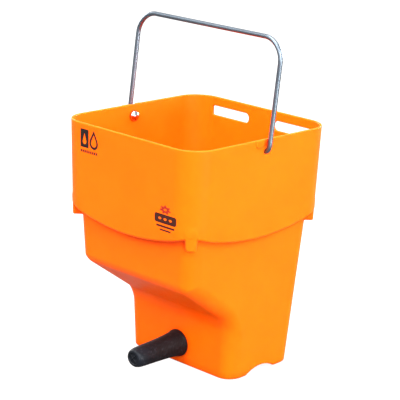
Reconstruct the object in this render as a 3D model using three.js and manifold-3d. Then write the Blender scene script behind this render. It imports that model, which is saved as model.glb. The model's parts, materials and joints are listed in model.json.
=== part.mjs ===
// A single-teat calf feeder: an open, tapered, moulded tub with a low sump, a rubber teat pushed
// through the sump's front wall, and a bent-rod bail handle that turns in the tub's side walls and
// is held inside by two domed push-on caps.
//
// Millimetres, +Z up. The origin is on the standing plane, under the middle of the rim.
// The teat points along -Y, the hanging slots are in the +Y wall, and the handle turns about X.

import * as THREE from "three";
import { mergeVertices } from "three/addons/utils/BufferGeometryUtils.js";
import Module from "manifold-3d";

const wasm = await Module();
wasm.setup();

// ---------------------------------------------------------------- driving dimensions

const WALL = 3.2;
const GAP = 0.35; // clearance between a piece and its neighbour

// Upper part of the tub, from the rim down to the scalloped ledge.
const RIM = { z: 322.4, halfX: 120, halfY: 125.3, cornerR: 35, draft: THREE.MathUtils.degToRad(1.55) };

// The ledge under the upper part: an arc on each side that falls to its lowest in the middle.
const LEDGE = { endZ: RIM.z - 110.5, sag: 17, halfChord: 103.5, cornerY: 108.5 };

// Stacking lugs that hang from the ledge at the four corners.
const LUG = { bottomZ: RIM.z - 126.2, topWidth: 16.5, bottomWidth: 12.5, setIn: 40 };

// Lower part of the tub. Half width and back wall are given at the base and at refZ.
const LOWER = {
  refZ: 203,
  topZ: RIM.z - 103,
  halfX: [92.9, 104],
  backY: [98.6, 111.8],
  cornerR: 21,
};

// Front wall in side view, from the base up: sump wall, ramp, upper front wall.
const FRONT = {
  sumpBase: [-18.4, 0],
  sumpTop: [-21.3, 79.8],
  rampTop: [-105.6, 137.9],
  wallRef: [-109.4, 203],
  sumpBendR: 22,
  rampBendR: 14,
};

// The floor and the foot rise together towards the back, so that the last milk runs to the teat.
const FLOOR = { topZ: 12.5, thick: 3.2, rise: THREE.MathUtils.degToRad(1.5) };
const ARCH = { midY: 39, span: 52, height: 8 };
const SLOT = { z: RIM.z - 19, height: 13, innerX: 22.8, outerX: 88.4, innerR: 6, outerR: 2 };
const PADS = { proud: 1.2, height: 9.5, cornerR: 3.2, front: [-18.5, -5.5], back: [5.5, 13.5] };
const SEAT = { depth: 1.3, setIn: 0.4 }; // shallow recess for a handle leg, between its two pads

const ROD_R = 3;
const HANDLE = {
  pivotY: -0.2,
  pivotZ: RIM.z - 15.8,
  legX: 124.4,
  reach: 137.8,
  topBendR: 29.2,
  footBend: [5.2, 9.5],
  lean: 6.35,
};
const PIVOT_HOLE_R = 3.4;
const CAP = { r: 7.3, depth: 6.8, mouthDepth: 1.2, sheet: 0.5, wallGap: 0.6, rodInside: 4.6 };
const NUT = { r: 6.4, rimWidth: 1.6, thick: 0.5, inset: 0.45, dish: 0.9 };

const TEAT = { z: 27.5, length: 80.5, holeR: 12.2, flangeR: 15, flangeThick: 4.2, baseR: 18.2, boreR: 8.2 };

const FAR = 200; // further out than any wall
const CORNER_STEPS = 7;
const ARC_STEPS = 12;
const ROUND_STEPS = 24;

// ---------------------------------------------------------------- materials

const moulded = new THREE.MeshStandardMaterial({ color: 0xff7a14, roughness: 0.38, metalness: 0 });
const galvanised = new THREE.MeshStandardMaterial({ color: 0xa9b0b6, roughness: 0.34, metalness: 1 });
const bright = new THREE.MeshStandardMaterial({ color: 0xd8dadd, roughness: 0.12, metalness: 1 });
const spring = new THREE.MeshStandardMaterial({ color: 0x6d7276, roughness: 0.4, metalness: 1 });
const rubber = new THREE.MeshStandardMaterial({ color: 0x1d1c20, roughness: 0.62, metalness: 0 });

// ---------------------------------------------------------------- solids

function solid(geometry) {
  const bare = geometry.clone();
  bare.deleteAttribute("normal");
  bare.deleteAttribute("uv");
  const merged = mergeVertices(bare, 1e-4);
  return new wasm.Manifold(
    new wasm.Mesh({
      numProp: 3,
      vertProperties: merged.attributes.position.array,
      triVerts: new Uint32Array(merged.index.array),
    }),
  );
}

function geometryOf(manifold) {
  const mesh = manifold.getMesh();
  const geometry = new THREE.BufferGeometry();
  geometry.setAttribute("position", new THREE.BufferAttribute(mesh.vertProperties, 3));
  geometry.setIndex(new THREE.BufferAttribute(mesh.triVerts, 1));
  geometry.computeVertexNormals();
  return geometry;
}

const joined = (first, ...rest) => rest.reduce((sum, next) => sum.add(next), first);
const cut = (first, ...rest) => rest.reduce((left, next) => left.subtract(next), first);

// A box between two corners.
function block(low, high) {
  const size = high.map((h, i) => h - low[i]);
  const box = new THREE.BoxGeometry(...size);
  return solid(box.translate(...low.map((l, i) => l + size[i] / 2)));
}

// A shape drawn in (x, z), extruded along Y from y0 to y1.
function alongY(shape, y0, y1) {
  const extruded = new THREE.ExtrudeGeometry(shape, { depth: y1 - y0, bevelEnabled: false });
  return solid(extruded.rotateX(Math.PI / 2).translate(0, y1, 0));
}

// A shape drawn in (y, z), extruded along X from x0 to x1.
function alongX(shape, x0, x1) {
  const extruded = new THREE.ExtrudeGeometry(shape, { depth: x1 - x0, bevelEnabled: false });
  return solid(extruded.rotateX(Math.PI / 2).rotateZ(Math.PI / 2).translate(x0, 0, 0));
}

// Joins the outlines of sections, which run counter-clockwise at rising heights, into a closed solid.
function loft(sections) {
  const count = sections[0].outline.length;
  const positions = sections.flatMap(({ z, outline }) => outline.flatMap((p) => [p.x, p.y, z]));
  const index = [];
  for (let ring = 0; ring + 1 < sections.length; ring++) {
    for (let i = 0; i < count; i++) {
      const a = ring * count + i;
      const b = ring * count + ((i + 1) % count);
      index.push(a, b, b + count, a, b + count, a + count);
    }
  }
  const cap = THREE.ShapeUtils.triangulateShape(sections[0].outline, []);
  const top = (sections.length - 1) * count;
  for (const [a, b, c] of cap) index.push(a, c, b, top + a, top + b, top + c);
  const geometry = new THREE.BufferGeometry();
  geometry.setAttribute("position", new THREE.Float32BufferAttribute(positions, 3));
  geometry.setIndex(index);
  return solid(geometry);
}

// A rectangle with rounded corners, counter-clockwise, with the same number of points at any size.
function roundedRectangle(halfX, frontY, backY, radius) {
  const corners = [
    [halfX - radius, backY - radius],
    [-halfX + radius, backY - radius],
    [-halfX + radius, frontY + radius],
    [halfX - radius, frontY + radius],
  ];
  const outline = [];
  corners.forEach(([x, y], quarter) => {
    for (let i = 0; i <= CORNER_STEPS; i++) {
      const angle = (quarter + i / CORNER_STEPS) * (Math.PI / 2);
      outline.push(new THREE.Vector2(x + radius * Math.cos(angle), y + radius * Math.sin(angle)));
    }
  });
  return outline;
}

// ---------------------------------------------------------------- the tub

// The upper part, drawn in by inset all round, from height z0 to z1.
function upperPrism(inset, z0, z1) {
  const sections = [z0, z1].map((z) => {
    const taper = (RIM.z - z) * Math.tan(RIM.draft) + inset;
    const outline = roundedRectangle(
      RIM.halfX - taper,
      -RIM.halfY + taper,
      RIM.halfY - taper,
      RIM.cornerR - inset - (RIM.z - z) * 0.01,
    );
    return { z, outline };
  });
  return loft(sections);
}

// The corner between two straight lines, rounded to an arc, as points from the first line to the second.
function roundedCorner(before, corner, after, radius, steps = 6) {
  const inward = new THREE.Vector2().subVectors(before, corner).normalize();
  const outward = new THREE.Vector2().subVectors(after, corner).normalize();
  const half = Math.acos(inward.dot(outward)) / 2;
  const bisector = inward.clone().add(outward).normalize();
  const centre = corner.clone().addScaledVector(bisector, radius / Math.sin(half));
  const start = corner.clone().addScaledVector(inward, radius / Math.tan(half)).sub(centre);
  const end = corner.clone().addScaledVector(outward, radius / Math.tan(half)).sub(centre);
  const turn = Math.atan2(start.cross(end), start.dot(end));
  return Array.from({ length: steps + 1 }, (_, i) =>
    start.clone().rotateAround(new THREE.Vector2(), (turn * i) / steps).add(centre),
  );
}

// The front wall in side view as points (y, z), moved into the tub by inset.
function frontProfile(inset) {
  const { sumpBase, sumpTop, rampTop, wallRef } = FRONT;
  const points = [sumpBase, sumpTop, rampTop, wallRef].map((p) => new THREE.Vector2(...p));
  const lines = points.slice(1).map((p, i) => {
    const along = new THREE.Vector2().subVectors(p, points[i]).normalize();
    const inner = new THREE.Vector2(along.y, -along.x).multiplyScalar(inset);
    return { from: points[i].clone().add(inner), along };
  });
  const meet = (p, q) => {
    const between = new THREE.Vector2().subVectors(q.from, p.from);
    return p.from.clone().addScaledVector(p.along, between.cross(q.along) / p.along.cross(q.along));
  };
  const atHeight = ({ from, along }, z) => from.clone().addScaledVector(along, (z - from.y) / along.y);
  const base = atHeight(lines[0], 0);
  const sumpBend = meet(lines[0], lines[1]);
  const rampBend = meet(lines[1], lines[2]);
  const top = atHeight(lines[2], LOWER.topZ);
  return [
    base,
    ...roundedCorner(base, sumpBend, rampBend, FRONT.sumpBendR + inset),
    ...roundedCorner(sumpBend, rampBend, top, FRONT.rampBendR - inset),
    top,
  ];
}

// The lower part, drawn in by inset all round, from height z0 up to LOWER.topZ.
function lowerPrism(inset, z0) {
  const profile = frontProfile(inset);
  const above = profile.filter((p) => p.y > z0 + 1);
  const first = profile[0].clone().lerp(profile[1], (z0 - profile[0].y) / (profile[1].y - profile[0].y));
  const sections = [first, ...above].map((p) => {
    const share = p.y / LOWER.refZ;
    const halfX = THREE.MathUtils.lerp(...LOWER.halfX, share) - inset;
    const backY = THREE.MathUtils.lerp(...LOWER.backY, share) - inset;
    return { z: p.y, outline: roundedRectangle(halfX, p.x, backY, LOWER.cornerR - inset) };
  });
  return loft(sections);
}

const UNDER_LEDGE = LUG.bottomZ - 20;

// Everything under one ledge arc, as a shape across the wall out to reach on each side.
function underArc(lift, halfChord, reach) {
  const radius = (halfChord ** 2 + LEDGE.sag ** 2) / (2 * LEDGE.sag);
  const half = Math.asin(halfChord / radius);
  const centreZ = LEDGE.endZ - LEDGE.sag + radius + lift;
  const shape = new THREE.Shape();
  shape.moveTo(reach, UNDER_LEDGE);
  shape.lineTo(reach, LEDGE.endZ + lift);
  for (let i = 0; i <= ARC_STEPS; i++) {
    const angle = half - (2 * half * i) / ARC_STEPS;
    shape.lineTo(radius * Math.sin(angle), centreZ - radius * Math.cos(angle));
  }
  shape.lineTo(-reach, LEDGE.endZ + lift);
  shape.lineTo(-reach, UNDER_LEDGE);
  return shape;
}

// One corner's lug: a tapered web across the corner, as deep as the ledge and flush with the upper wall.
function lug() {
  const low = LUG.bottomZ;
  const high = LEDGE.endZ + 6;
  const shape = new THREE.Shape();
  shape.moveTo(-LUG.topWidth / 2, high);
  shape.lineTo(-LUG.bottomWidth / 2, low);
  shape.lineTo(LUG.bottomWidth / 2, low);
  shape.lineTo(LUG.topWidth / 2, high);
  const web = new THREE.ExtrudeGeometry(shape, { depth: 80, bevelEnabled: false });
  web.rotateX(Math.PI / 2).translate(0, 80, 0).rotateZ(-Math.PI / 4);
  web.translate(RIM.halfX - RIM.cornerR - LUG.setIn / 2, RIM.halfY - RIM.cornerR - LUG.setIn / 2, 0);
  return solid(web);
}

// The upper wall with its scalloped lower edge and its corner lugs, still solid inside.
function skirt() {
  const { halfChord, cornerY, endZ } = LEDGE;
  const underCorners = cut(
    block([-FAR, -FAR, UNDER_LEDGE], [FAR, FAR, endZ]),
    block([-halfChord, -FAR, UNDER_LEDGE], [halfChord, FAR, endZ]),
    block([-FAR, -cornerY, UNDER_LEDGE], [FAR, cornerY, endZ]),
  );
  const scalloped = cut(
    upperPrism(0, LUG.bottomZ - 5, RIM.z),
    alongY(underArc(0, halfChord, halfChord), -FAR, FAR),
    alongX(underArc(0, cornerY, cornerY), -FAR, FAR),
    underCorners,
  );
  const right = joined(lug(), lug().mirror([0, 1, 0]));
  const lugs = joined(right, right.mirror([1, 0, 0]));
  return joined(scalloped, lugs.intersect(upperPrism(0, LUG.bottomZ, RIM.z)));
}

// The space inside the upper wall, down to the top face of the ledge.
function upperCavity() {
  const [innerX] = LOWER.halfX;
  const endBand = underArc(WALL, LEDGE.halfChord, FAR);
  const sideBand = underArc(WALL, LEDGE.cornerY, FAR);
  const frontBand = alongY(endBand, -FAR, -innerX);
  const backBand = alongY(endBand, innerX, FAR);
  const leftBand = alongX(sideBand, -FAR, -innerX + WALL);
  const rightBand = alongX(sideBand, innerX - WALL, FAR);
  const middle = block([-FAR, -FAR, 0], [FAR, FAR, LEDGE.endZ - LEDGE.sag]);
  return cut(upperPrism(WALL, LUG.bottomZ, RIM.z + 5), frontBand, backBand, leftBand, rightBand, middle);
}

// A pad in side view, from y0 to y1 at the rim. Its lower corners are round, and the shifts move each
// edge's foot towards the front.
function padShape([y0, y1], [shift0, shift1]) {
  const r = PADS.cornerR;
  const low = RIM.z - PADS.height;
  const shape = new THREE.Shape();
  shape.moveTo(y0, RIM.z);
  shape.lineTo(y0 - shift0, low + r);
  shape.quadraticCurveTo(y0 - shift0, low, y0 - shift0 + r, low);
  shape.lineTo(y1 - shift1 - r, low);
  shape.quadraticCurveTo(y1 - shift1, low, y1 - shift1, low + r);
  shape.lineTo(y1, RIM.z);
  return shape;
}

// Two raised pads beside one handle leg, with inner edges that follow the leg.
function pads(side) {
  const shift = Math.tan(THREE.MathUtils.degToRad(HANDLE.lean)) * PADS.height;
  const inner = RIM.halfX - WALL / 2;
  const outer = RIM.halfX + PADS.proud;
  const shapes = [padShape(PADS.front, [0, shift]), padShape(PADS.back, [shift, 0])];
  return shapes.map((shape) => (side > 0 ? alongX(shape, inner, outer) : alongX(shape, -outer, -inner)));
}

// The recess in the wall's outer face where one handle leg rests, with ends that follow the leg.
function legSeat(side) {
  const shift = Math.tan(THREE.MathUtils.degToRad(HANDLE.lean));
  const y0 = PADS.front[1] + SEAT.setIn;
  const y1 = PADS.back[0] - SEAT.setIn;
  const above = 2;
  const shape = new THREE.Shape();
  shape.moveTo(y0 + shift * above, RIM.z + above);
  shape.lineTo(y0 - shift * PADS.height, RIM.z - PADS.height);
  shape.lineTo(y1 - shift * PADS.height, RIM.z - PADS.height);
  shape.lineTo(y1 + shift * above, RIM.z + above);
  const floorX = RIM.halfX - SEAT.depth;
  return side > 0 ? alongX(shape, floorX, FAR) : alongX(shape, -FAR, -floorX);
}

// A hanging slot: round at the inner end, nearly square at the outer end.
function slot(side) {
  const { innerX, outerX, innerR, outerR } = SLOT;
  const low = SLOT.z - SLOT.height / 2;
  const high = SLOT.z + SLOT.height / 2;
  const shape = new THREE.Shape();
  shape.absarc(innerX + innerR, high - innerR, innerR, Math.PI / 2, Math.PI, false);
  shape.absarc(innerX + innerR, low + innerR, innerR, Math.PI, 1.5 * Math.PI, false);
  shape.absarc(outerX - outerR, low + outerR, outerR, 1.5 * Math.PI, 2 * Math.PI, false);
  shape.absarc(outerX - outerR, high - outerR, outerR, 0, Math.PI / 2, false);
  const made = alongY(shape, RIM.halfY - 20, RIM.halfY + 20);
  return side > 0 ? made : made.mirror([1, 0, 0]);
}

// An arched relief through the foot of both side walls.
function arch() {
  const radius = (ARCH.height ** 2 + (ARCH.span / 2) ** 2) / (2 * ARCH.height);
  const half = Math.asin(ARCH.span / 2 / radius);
  const centreZ = ARCH.height - radius;
  const shape = new THREE.Shape();
  shape.moveTo(ARCH.midY - ARCH.span / 2, -5);
  for (let i = 0; i <= ARC_STEPS; i++) {
    const angle = -half + (2 * half * i) / ARC_STEPS;
    shape.lineTo(ARCH.midY + radius * Math.sin(angle), centreZ + radius * Math.cos(angle));
  }
  shape.lineTo(ARCH.midY + ARCH.span / 2, -5);
  const across = new THREE.ExtrudeGeometry(shape, { depth: 2 * FAR, bevelEnabled: false });
  return tilted(across.rotateX(Math.PI / 2).rotateZ(Math.PI / 2).translate(-FAR, 0, 0), 0);
}

// Turns a shape made level to the rise of the floor, about the foot's front edge, and lifts it.
function tilted(geometry, lift) {
  const [frontY] = FRONT.sumpBase;
  return solid(geometry.translate(0, -frontY, 0).rotateX(FLOOR.rise).translate(0, frontY, lift));
}

// Everything below the floor's slope when it is lifted off the foot.
function below(lift) {
  const depth = 60;
  return tilted(new THREE.BoxGeometry(2 * FAR, 2 * FAR, depth).translate(0, 0, -depth / 2), lift);
}

// The recess under the floor, which leaves a standing skirt one wall thick.
function underFloor() {
  const sections = [-1, 30].map((z) => {
    const share = z / LOWER.refZ;
    const halfX = THREE.MathUtils.lerp(...LOWER.halfX, share) - WALL;
    const backY = THREE.MathUtils.lerp(...LOWER.backY, share) - WALL;
    const frontY = FRONT.sumpBase[0] + WALL;
    return { z, outline: roundedRectangle(halfX, frontY, backY, LOWER.cornerR - WALL) };
  });
  return loft(sections).intersect(below(FLOOR.topZ - FLOOR.thick));
}

// Where the teat passes through the sump wall, as a group whose -Y axis is the wall's outward normal.
const wallTilt = Math.atan2(FRONT.sumpBase[0] - FRONT.sumpTop[0], FRONT.sumpTop[1]);
const teatSeat = new THREE.Group();
teatSeat.position.set(0, FRONT.sumpBase[0] - TEAT.z * Math.tan(wallTilt), TEAT.z);
teatSeat.rotation.x = wallTilt;
teatSeat.updateMatrixWorld(true);

function tub() {
  const sump = cut(lowerPrism(WALL, FLOOR.topZ - 1), below(FLOOR.topZ));
  const shell = cut(joined(skirt(), lowerPrism(0, -3)), joined(upperCavity(), sump));
  const pivotHole = new THREE.CylinderGeometry(PIVOT_HOLE_R, PIVOT_HOLE_R, 2 * FAR, ROUND_STEPS);
  pivotHole.rotateZ(Math.PI / 2).translate(0, HANDLE.pivotY, HANDLE.pivotZ);
  const teatHole = new THREE.CylinderGeometry(TEAT.holeR, TEAT.holeR, 30, 2 * ROUND_STEPS);
  teatHole.applyMatrix4(teatSeat.matrixWorld);
  return cut(
    joined(shell, ...pads(1), ...pads(-1)),
    legSeat(1),
    legSeat(-1),
    slot(1),
    slot(-1),
    solid(pivotHole),
    solid(teatHole),
    arch(),
    underFloor(),
    below(0),
  );
}

// ---------------------------------------------------------------- the teat

// A hollow rubber teat, turned about its own axis. y is the distance out from the wall's outer face.
function teat() {
  const inside = -WALL - GAP;
  const tip = TEAT.length;
  const outer = [
    [TEAT.boreR + 0.8, inside - TEAT.flangeThick],
    [TEAT.flangeR - 0.8, inside - TEAT.flangeThick],
    [TEAT.flangeR, inside - TEAT.flangeThick + 0.8],
    [TEAT.flangeR, inside],
    [TEAT.holeR - GAP, inside],
    [TEAT.holeR - GAP, GAP],
    [TEAT.baseR, GAP],
    [TEAT.baseR, 2],
    [16.7, 7],
    [15.5, 14],
    [14.8, 22],
    [14.2, 36],
    [13.9, 50],
    [13.6, tip - 12],
    [12.9, tip - 6],
    [11.3, tip - 1.8],
    [8.8, tip],
  ];
  const bore = [
    [1.2, tip],
    [1.2, tip - 4.5],
    [6.5, tip - 6],
    [7.6, tip - 16],
    [TEAT.boreR, 20],
    [TEAT.boreR + 0.8, inside - TEAT.flangeThick],
  ];
  const profile = [...outer, ...bore].map(([r, s]) => new THREE.Vector2(r, s));
  return new THREE.LatheGeometry(profile, 2 * ROUND_STEPS);
}

// ---------------------------------------------------------------- the handle and its caps

// A path made of pieces, each stepped its own number of times, so that straight runs cost one step.
class SteppedPath extends THREE.Curve {
  constructor(pieces) {
    super();
    this.pieces = pieces;
    this.steps = pieces.reduce((sum, piece) => sum + piece.steps, 0);
  }
  locate(t) {
    let left = t * this.steps;
    for (const piece of this.pieces) {
      if (left <= piece.steps + 1e-9) return [piece.curve, Math.min(1, left / piece.steps)];
      left -= piece.steps;
    }
    return [this.pieces.at(-1).curve, 1];
  }
  getPoint(t) {
    const [curve, local] = this.locate(t);
    return curve.getPoint(local);
  }
  getTangent(t) {
    const [curve, local] = this.locate(t);
    return curve.getTangent(local);
  }
  getUtoTmapping(u) {
    return u;
  }
}

// A bend in the XZ plane: part of an ellipse about a centre, from one angle to another.
class Bend extends THREE.Curve {
  constructor(centre, radii, from, to) {
    super();
    Object.assign(this, { centre, radii, from, to });
  }
  getPoint(t) {
    const angle = THREE.MathUtils.lerp(this.from, this.to, t);
    const x = this.centre[0] + this.radii[0] * Math.cos(angle);
    return new THREE.Vector3(x, 0, this.centre[1] + this.radii[1] * Math.sin(angle));
  }
  getTangent(t) {
    const angle = THREE.MathUtils.lerp(this.from, this.to, t);
    const way = Math.sign(this.to - this.from);
    const across = -this.radii[0] * Math.sin(angle) * way;
    return new THREE.Vector3(across, 0, this.radii[1] * Math.cos(angle) * way).normalize();
  }
}

// The rod's end inside the tub's wall: where the nut grips it and the dome covers it.
const wallInsideX = RIM.halfX - WALL - (RIM.z - HANDLE.pivotZ) * Math.tan(RIM.draft);
const capMouthX = wallInsideX - CAP.wallGap;
const rodEndX = capMouthX - CAP.rodInside;

// The bent rod, drawn upright in the XZ plane with its pivot axis on X.
function bailRod() {
  const { legX, reach, topBendR, footBend } = HANDLE;
  const [footX, footZ] = footBend;
  const line = (x0, z0, x1, z1) => ({
    curve: new THREE.LineCurve3(new THREE.Vector3(x0, 0, z0), new THREE.Vector3(x1, 0, z1)),
    steps: 1,
  });
  const bend = (centre, radii, from, to, steps) => ({ curve: new Bend(centre, radii, from, to), steps });
  const quarter = Math.PI / 2;
  const round = [topBendR, topBendR];
  const path = new SteppedPath([
    line(-rodEndX, 0, -legX + footX, 0),
    bend([-legX + footX, footZ], footBend, -quarter, -2 * quarter, 7),
    line(-legX, footZ, -legX, reach - topBendR),
    bend([-legX + topBendR, reach - topBendR], round, 2 * quarter, quarter, 9),
    line(-legX + topBendR, reach, legX - topBendR, reach),
    bend([legX - topBendR, reach - topBendR], round, quarter, 0, 9),
    line(legX, reach - topBendR, legX, footZ),
    bend([legX - footX, footZ], footBend, 0, -quarter, 7),
    line(legX - footX, 0, rodEndX, 0),
  ]);
  const section = new THREE.Shape().absarc(0, 0, ROD_R, 0, 2 * Math.PI);
  return new THREE.ExtrudeGeometry(section, { steps: path.steps, curveSegments: 10, extrudePath: path });
}

// A pressed dome over the rod's end, turned about the pivot axis. y runs from the mouth to the crown.
function domeCap() {
  const { r, depth, mouthDepth, sheet } = CAP;
  const steps = 8;
  const arc = (radius, height) =>
    Array.from({ length: steps + 1 }, (_, i) => {
      const angle = (i / steps) * (Math.PI / 2);
      return new THREE.Vector2(radius * Math.cos(angle), mouthDepth + height * Math.sin(angle));
    });
  const crown = depth - mouthDepth;
  const outside = [new THREE.Vector2(r, 0), ...arc(r, crown)];
  const inside = [new THREE.Vector2(r - sheet, 0), ...arc(r - sheet, crown - sheet)].reverse();
  outside.at(-1).x = 0;
  inside[0].x = 0;
  return new THREE.LatheGeometry([...outside, ...inside, outside[0].clone()], ROUND_STEPS);
}

// A dished spring-steel washer inside the dome's mouth. Its teeth stand in as a plain dished edge.
function pushNut() {
  const { r, rimWidth, thick, inset, dish } = NUT;
  const inner = ROD_R + GAP;
  const profile = [
    [inner, inset + dish],
    [r - rimWidth, inset],
    [r, inset],
    [r, inset + thick],
    [r - rimWidth, inset + thick],
    [inner, inset + dish + thick],
    [inner, inset + dish],
  ];
  return new THREE.LatheGeometry(profile.map((p) => new THREE.Vector2(...p)), ROUND_STEPS);
}

// ---------------------------------------------------------------- assembly

function named(name, geometry, material) {
  const mesh = new THREE.Mesh(geometry, material);
  mesh.name = name;
  return mesh;
}

const feeder = new THREE.Group();
feeder.add(named("feeder_tub", geometryOf(tub()), moulded));

const rubberTeat = named("teat", teat(), rubber);
rubberTeat.rotation.x = Math.PI;
teatSeat.add(rubberTeat);
feeder.add(teatSeat);

const bail = new THREE.Group();
bail.position.set(0, HANDLE.pivotY, HANDLE.pivotZ);
bail.rotation.x = -THREE.MathUtils.degToRad(HANDLE.lean);
bail.add(named("bail_handle", bailRod(), galvanised));
for (const [side, word] of [[1, "right"], [-1, "left"]]) {
  const rodEnd = new THREE.Group();
  rodEnd.position.x = side * capMouthX;
  rodEnd.rotation.z = (side * Math.PI) / 2;
  rodEnd.add(named(`dome_cap_${word}`, domeCap(), bright));
  rodEnd.add(named(`push_nut_${word}`, pushNut(), spring));
  bail.add(rodEnd);
}
feeder.add(bail);

export default feeder;
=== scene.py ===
"""Looks for a single-teat calf feeder: moulded tub, rubber teat and bent-rod bail handle.

Shapes are worked out in millimetres, in the CAD's frame, and become metres when a mesh is made:
+Z up from the foot, the teat out along -Y, hanging slots in the +Y wall, the handle's pivot along X.
"""

import json
import math

import bmesh
import bpy
import numpy as np
from mathutils import Matrix, Vector


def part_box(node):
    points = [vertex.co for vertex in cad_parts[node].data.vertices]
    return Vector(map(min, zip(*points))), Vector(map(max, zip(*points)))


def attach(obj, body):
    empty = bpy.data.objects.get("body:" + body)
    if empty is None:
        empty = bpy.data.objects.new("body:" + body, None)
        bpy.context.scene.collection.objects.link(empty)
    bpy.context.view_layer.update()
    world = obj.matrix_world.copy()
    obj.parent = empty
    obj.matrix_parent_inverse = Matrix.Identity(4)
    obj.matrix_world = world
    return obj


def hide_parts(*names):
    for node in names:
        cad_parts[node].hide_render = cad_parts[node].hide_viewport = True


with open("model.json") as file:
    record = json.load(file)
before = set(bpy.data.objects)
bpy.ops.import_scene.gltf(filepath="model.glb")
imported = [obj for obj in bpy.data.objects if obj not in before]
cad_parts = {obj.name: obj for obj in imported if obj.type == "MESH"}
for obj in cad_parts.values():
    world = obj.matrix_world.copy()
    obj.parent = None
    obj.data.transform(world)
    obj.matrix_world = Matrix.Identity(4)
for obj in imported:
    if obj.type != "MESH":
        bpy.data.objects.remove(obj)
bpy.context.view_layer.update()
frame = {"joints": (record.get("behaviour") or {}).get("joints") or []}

MM = 0.001

# ------------------------------------------------------------------ sizes read from the frame


def highest_mm(node):
    """A node's highest corner at rest."""
    return np.array(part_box(node)[1]) / MM


tub_high = highest_mm("feeder_tub")
pivot = np.array(frame["joints"][0]["pos_m"]) / MM

PAD_PROUD = 1.2
RIM_Z = tub_high[2]
HALF_X = tub_high[0] - PAD_PROUD
HALF_Y = tub_high[1]
PIVOT_Y, PIVOT_Z = pivot[1], pivot[2]
ROD_R = 3.0
LEG_X = highest_mm("bail_handle")[0] - ROD_R
CAP_MOUTH_X = highest_mm("dome_cap_right")[0]

# ------------------------------------------------------------------ the tub's sizes, as in the CAD

WALL = 3.2
UPPER_DRAFT = math.tan(math.radians(1.55))
UPPER_CORNER, CORNER_TAPER = 35.0, 0.01
LEDGE_END = RIM_Z - 110.5
LEDGE_SAG = 17.0
LEDGE_HALF_X, LEDGE_HALF_Y = 103.5, 108.5
LEDGE_SQUARE = 0.96  # turns a height over the sloping ledge into a distance square to it
LUG_BOTTOM, LUG_FULL = RIM_Z - 126.2, LEDGE_END + 6.0
LUG_WIDTH = (12.5, 16.5)
LUG_REACH = 185.0  # least |x| + |y| of a lug
OUTSIDE_LAP, INSIDE_LAP = 8.0, 12.0  # how far a lower shape runs up inside the upper one
LOWER_REF_Z = 203.0
LOWER_HALF_X = (92.9, 104.0)
LOWER_BACK_Y = (98.6, 111.8)
LOWER_CORNER = 20.5
SUMP_BASE, SUMP_TOP = (-18.4, 0.0), (-21.3, 79.8)
RAMP_TOP, WALL_REF = (-105.6, 137.9), (-109.4, 203.0)
FLOOR_RISE = math.tan(math.radians(1.5))
FLOOR_TOP, FLOOR_THICK = 12.5, 3.2
ARCH_Y, ARCH_SPAN, ARCH_HEIGHT = 39.0, 52.0, 8.0
SLOT_Z, SLOT_HEIGHT, SLOT_X = RIM_Z - 19.0, 13.0, (22.8, 88.4)
SLOT_INNER_R, SLOT_OUTER_R, SLOT_CUT = 6.0, 2.0, 12.0
PAD_HEIGHT, PAD_ROOT = 9.5, 2.0
PAD_FRONT_Y, PAD_BACK_Y = (-18.5, -5.5), (5.5, 13.5)
SEAT_DEPTH, SEAT_HALF_Y = 1.3, 5.1
LEAN = math.radians(6.35)
PIVOT_HOLE_R, PIVOT_HOLE_X = 3.4, 100.0
TEAT_Z, TEAT_HOLE_R, TEAT_HOLE_REACH = 27.5, 12.2, 20.0
TEAT_TILT = math.atan2(SUMP_BASE[0] - SUMP_TOP[0], SUMP_TOP[1])
TEAT_SEAT_Y = SUMP_BASE[0] - TEAT_Z * math.tan(TEAT_TILT)
ROUND = {  # radius of each moulded edge or fillet
    "ramp": 6.5, "sump": 12.0, "ledge": 2.6, "under_ledge": 3.5, "lug": 2.0, "lug_root": 1.8,
    "room_ledge": 4.0, "room_floor": 8.0, "room_join": 3.0, "pad": 3.2, "pad_edge": 0.4, "rim": 1.4,
    "slot": 0.8, "pivot_hole": 0.5, "teat_hole": 0.6, "recess": 3.0, "arch": 0.9, "foot": 1.1,
}

# ------------------------------------------------------------------ signed distances


def round_meet(a, b, r):
    """Intersection whose convex edge is rounded to radius r."""
    return np.minimum(np.maximum(a, b), -r) + np.hypot(np.maximum(a + r, 0), np.maximum(b + r, 0))


def round_join(a, b, r):
    """Union whose concave edge is filled to radius r."""
    return np.maximum(np.minimum(a, b), r) - np.hypot(np.maximum(r - a, 0), np.maximum(r - b, 0))


def rounded_rectangle(x, y, half_x, half_y, r):
    qx, qy = np.abs(x) - half_x + r, np.abs(y) - half_y + r
    return np.hypot(np.maximum(qx, 0), np.maximum(qy, 0)) + np.minimum(np.maximum(qx, qy), 0) - r


def plane_through(p, q, y, z):
    """Distance from the line p to q in side view, positive towards the front."""
    dy, dz = q[0] - p[0], q[1] - p[1]
    return (-(y - p[0]) * dz + (z - p[1]) * dy) / math.hypot(dy, dz)


def upper_walls(x, y, z):
    """The upper part's outside, above the ledge, before the rim is cut."""
    depth = RIM_Z - z
    draft = depth * UPPER_DRAFT
    return rounded_rectangle(x, y, HALF_X - draft, HALF_Y - draft, UPPER_CORNER - depth * CORNER_TAPER)


def leaning_wall(s, z, low, high):
    """Distance from a flat wall that stands at low where z is zero and at high at LOWER_REF_Z."""
    slope = (high - low) / LOWER_REF_Z
    return (s - low - slope * z) / math.hypot(1, slope)


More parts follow.
